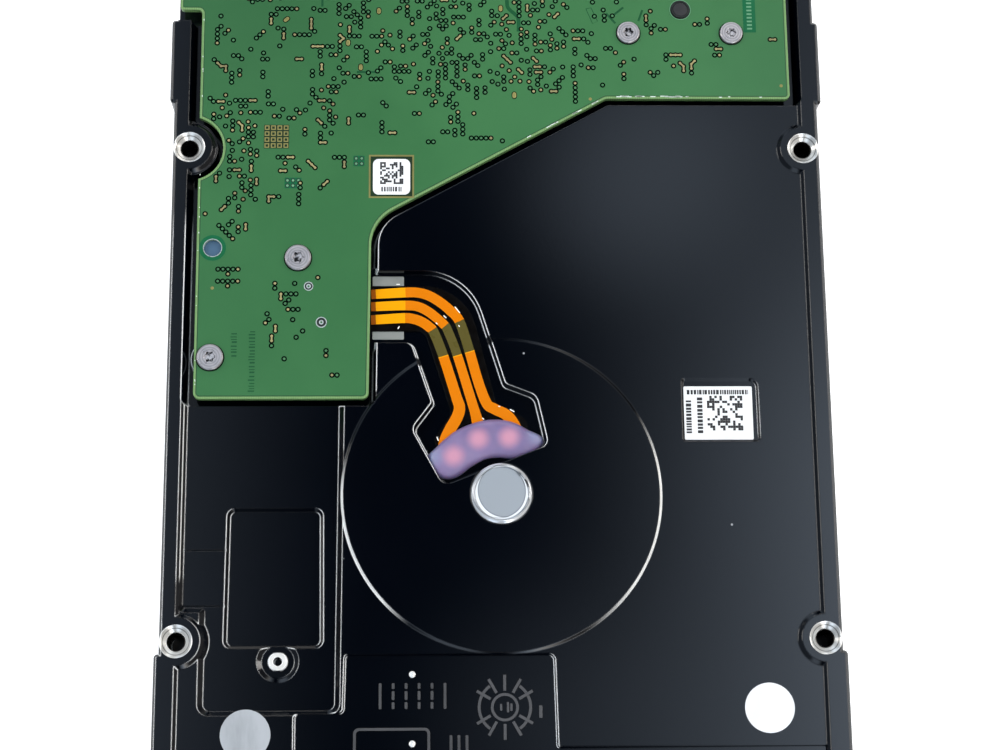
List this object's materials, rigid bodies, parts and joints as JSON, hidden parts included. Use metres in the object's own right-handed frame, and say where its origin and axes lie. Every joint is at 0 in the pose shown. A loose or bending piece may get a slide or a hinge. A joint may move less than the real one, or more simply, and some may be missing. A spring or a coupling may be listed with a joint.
{
  "type": "hard disk drive",
  "caption": "Hard disk drive: black cast base with a circuit board on one side and a sealed cover on the other, over spinning platters and a swinging head actuator.",
  "frame": {"origin": "on the top cover's outer face, under the centre of the drive's outline", "axes": "+Z from the cover towards the circuit board and the mounting plane, +Y towards the connector end, +X completes a right-handed frame"},
  "size_m": [0.1016, 0.147, 0.0261],
  "materials": {
    "black_casting": "glossy black electrocoat",
    "black_plastic": "moulded",
    "board_green": "solder mask over glass epoxy",
    "cap_metal": "satin",
    "ceramic": "small ceramic parts",
    "chip_black": "moulded package",
    "copper": "enamelled copper wire",
    "cover_metal": "brushed aluminium",
    "filter_felt": "soft felt",
    "flex_film": "polyimide film",
    "foam": "open foam",
    "gasket_rubber": "matte",
    "glue": "translucent lavender glue",
    "gold_contact": "gold plated",
    "hard_steel": "ground",
    "magnet": "nickel plated",
    "platter_mirror": "polished disk",
    "polyimide": "amber film",
    "screw_steel": "satin steel",
    "stiffener_steel": "brushed",
    "turned_aluminium": "turned",
    "white_paper": "semi-matte label",
    "white_plastic": "moulded"
  },
  "bodies": {
    "chassis": {"actuator_flex": "polyimide", "air_filter": "filter_felt", "axis_screws": "screw_steel", "base_casting": "black_casting", "board_insulator": "foam", "board_label": "white_paper", "board_passives": "ceramic", "board_pin": "black_plastic", "board_screws": "screw_steel", "breather_filter": "filter_felt", "casting_label": "white_paper", "circuit_board": "board_green", "controller_chip": "chip_black", "cover_gasket": "gasket_rubber", "cover_label": "white_paper", "cover_screws": "screw_steel", "crash_stop_sleeves": "gasket_rubber", "crash_stops": "hard_steel", "desiccant_pack": "filter_felt", "flex_bracket": "black_plastic", "flex_stiffener": "stiffener_steel", "glue_seal": "glue", "head_connector": "black_plastic", "hole_seals": "white_paper", "inner_screws": "screw_steel", "latch_pin": "hard_steel", "load_ramp": "white_plastic", "lower_yoke": "magnet", "motor_cap": "cap_metal", "motor_flex": "flex_film", "pivot_shaft": "hard_steel", "sata_connector": "black_plastic", "sata_contacts": "gold_contact", "spindle_shaft": "hard_steel", "stator_coils": "copper", "stator_core": "hard_steel", "support_chips": "chip_black", "top_cover": "cover_metal", "upper_yoke": "magnet", "yoke_magnets": "magnet", "yoke_standoffs": "hard_steel"},
    "spindle": {"spindle_hub": "turned_aluminium", "bearing_sleeve": "hard_steel", "rotor_yoke": "hard_steel", "rotor_magnet": "magnet", "disk_clamp": "turned_aluminium", "clamp_screws": "screw_steel", "platter_spacers": "turned_aluminium", "platter_1": "platter_mirror", "platter_2": "platter_mirror", "platter_3": "platter_mirror", "platter_4": "platter_mirror"},
    "actuator": {"actuator_block": "turned_aluminium", "pivot_sleeve": "hard_steel", "suspensions": "stiffener_steel", "sliders": "ceramic", "voice_coil": "copper", "coil_frame": "white_plastic", "preamp": "chip_black"},
    "latch": {"actuator_latch": "black_plastic"}
  },
  "joints": [
    {"name": "spindle_spin", "type": "hinge", "parent": "chassis", "child": "spindle", "pos_m": [0.0001, -0.0222, 0.01], "axis": [0, 0, 1], "continuous": true},
    {"name": "actuator_swing", "type": "hinge", "parent": "chassis", "child": "actuator", "pos_m": [-0.02, 0.031, 0.01], "axis": [0, 0, -1], "range_deg": [0, 33.5], "deforming": ["actuator_flex"]},
    {"name": "latch_swing", "type": "hinge", "parent": "chassis", "child": "latch", "pos_m": [-0.0382, 0.0235, 0.01], "axis": [0, 0, 1], "range_deg": [0, 14]}
  ]
}
